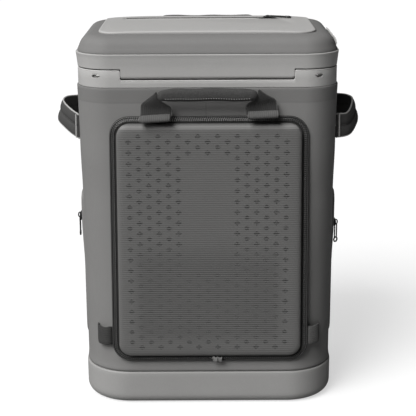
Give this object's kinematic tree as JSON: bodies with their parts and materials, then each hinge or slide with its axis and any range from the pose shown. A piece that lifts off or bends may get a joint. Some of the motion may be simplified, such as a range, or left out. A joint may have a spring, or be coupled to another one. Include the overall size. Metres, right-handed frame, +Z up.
{
  "type": "cooler backpack",
  "caption": "Hard-framed insulated backpack with a hinged padded lid, moulded base, zipped front pocket, haul handles, side handles and shoulder straps.",
  "frame": {"origin": "centre of the flat underside of the moulded base, on the surface it stands on", "axes": "+Z up; -Y is the front with the pocket; +Y is the back with the shoulder straps; +X is to the right of one who looks at the front pocket"},
  "size_m": [0.4156, 0.2978, 0.5131],
  "materials": {
    "fabric_shell": "coated grey pack cloth with a fine weave",
    "padded_fabric": "padded grey cloth",
    "moulded_panel": "moulded foam covered in ribbed cloth with a small staggered diamond pattern",
    "webbing": "ribbed woven webbing",
    "pale_webbing": "pale ribbed webbing",
    "ring_plastic": "satin grey moulded plastic",
    "base_plastic": "satin grey moulded base",
    "lid_plate": "light grey coated plate",
    "zip_coil": "dark coil zip and tape",
    "dark_plastic": "dark satin plastic",
    "dark_metal": "dark painted zip hardware",
    "pin_steel": "plain pin"
  },
  "bodies": {
    "case": {"base_tray": "base_plastic", "body_shell": "fabric_shell", "lower_frame": "ring_plastic", "hinge_pin_left": "pin_steel", "hinge_pin_right": "pin_steel", "front_pocket": "moulded_panel", "pocket_gusset": "moulded_panel", "pocket_zip": "zip_coil", "pocket_zip_end": "webbing", "front_handle_grip": "padded_fabric", "front_handle_webbing_left": "webbing", "front_handle_webbing_right": "webbing", "rear_handle_grip": "padded_fabric", "rear_handle_webbing_left": "webbing", "rear_handle_webbing_right": "webbing", "side_handle_left": "webbing", "side_handle_right": "webbing", "side_pocket_left": "fabric_shell", "side_pocket_right": "fabric_shell", "side_zip_left": "zip_coil", "side_zip_right": "zip_coil", "side_zip_slider_left": "dark_metal", "side_zip_slider_right": "dark_metal", "side_zip_pull_left": "dark_metal", "side_zip_pull_right": "dark_metal", "lash_loop_left": "webbing", "lash_loop_right": "webbing", "shoulder_strap_left": "padded_fabric", "shoulder_strap_right": "padded_fabric", "strap_buckle_left": "dark_plastic", "strap_buckle_right": "dark_plastic", "strap_webbing_left": "webbing", "strap_webbing_right": "webbing"},
    "lid": {"lid_frame": "ring_plastic", "lid_dome": "padded_fabric", "lid_panel": "lid_plate", "lid_zip": "zip_coil", "lid_zip_slider": "dark_metal", "lid_zip_pull": "dark_metal", "lid_side_tab": "pale_webbing"}
  },
  "joints": [
    {"name": "lid_hinge", "type": "hinge", "parent": "case", "child": "lid", "pos_m": [0, -0.113, 0.4545], "axis": [1, 0, 0], "range_deg": [0, 95]}
  ]
}
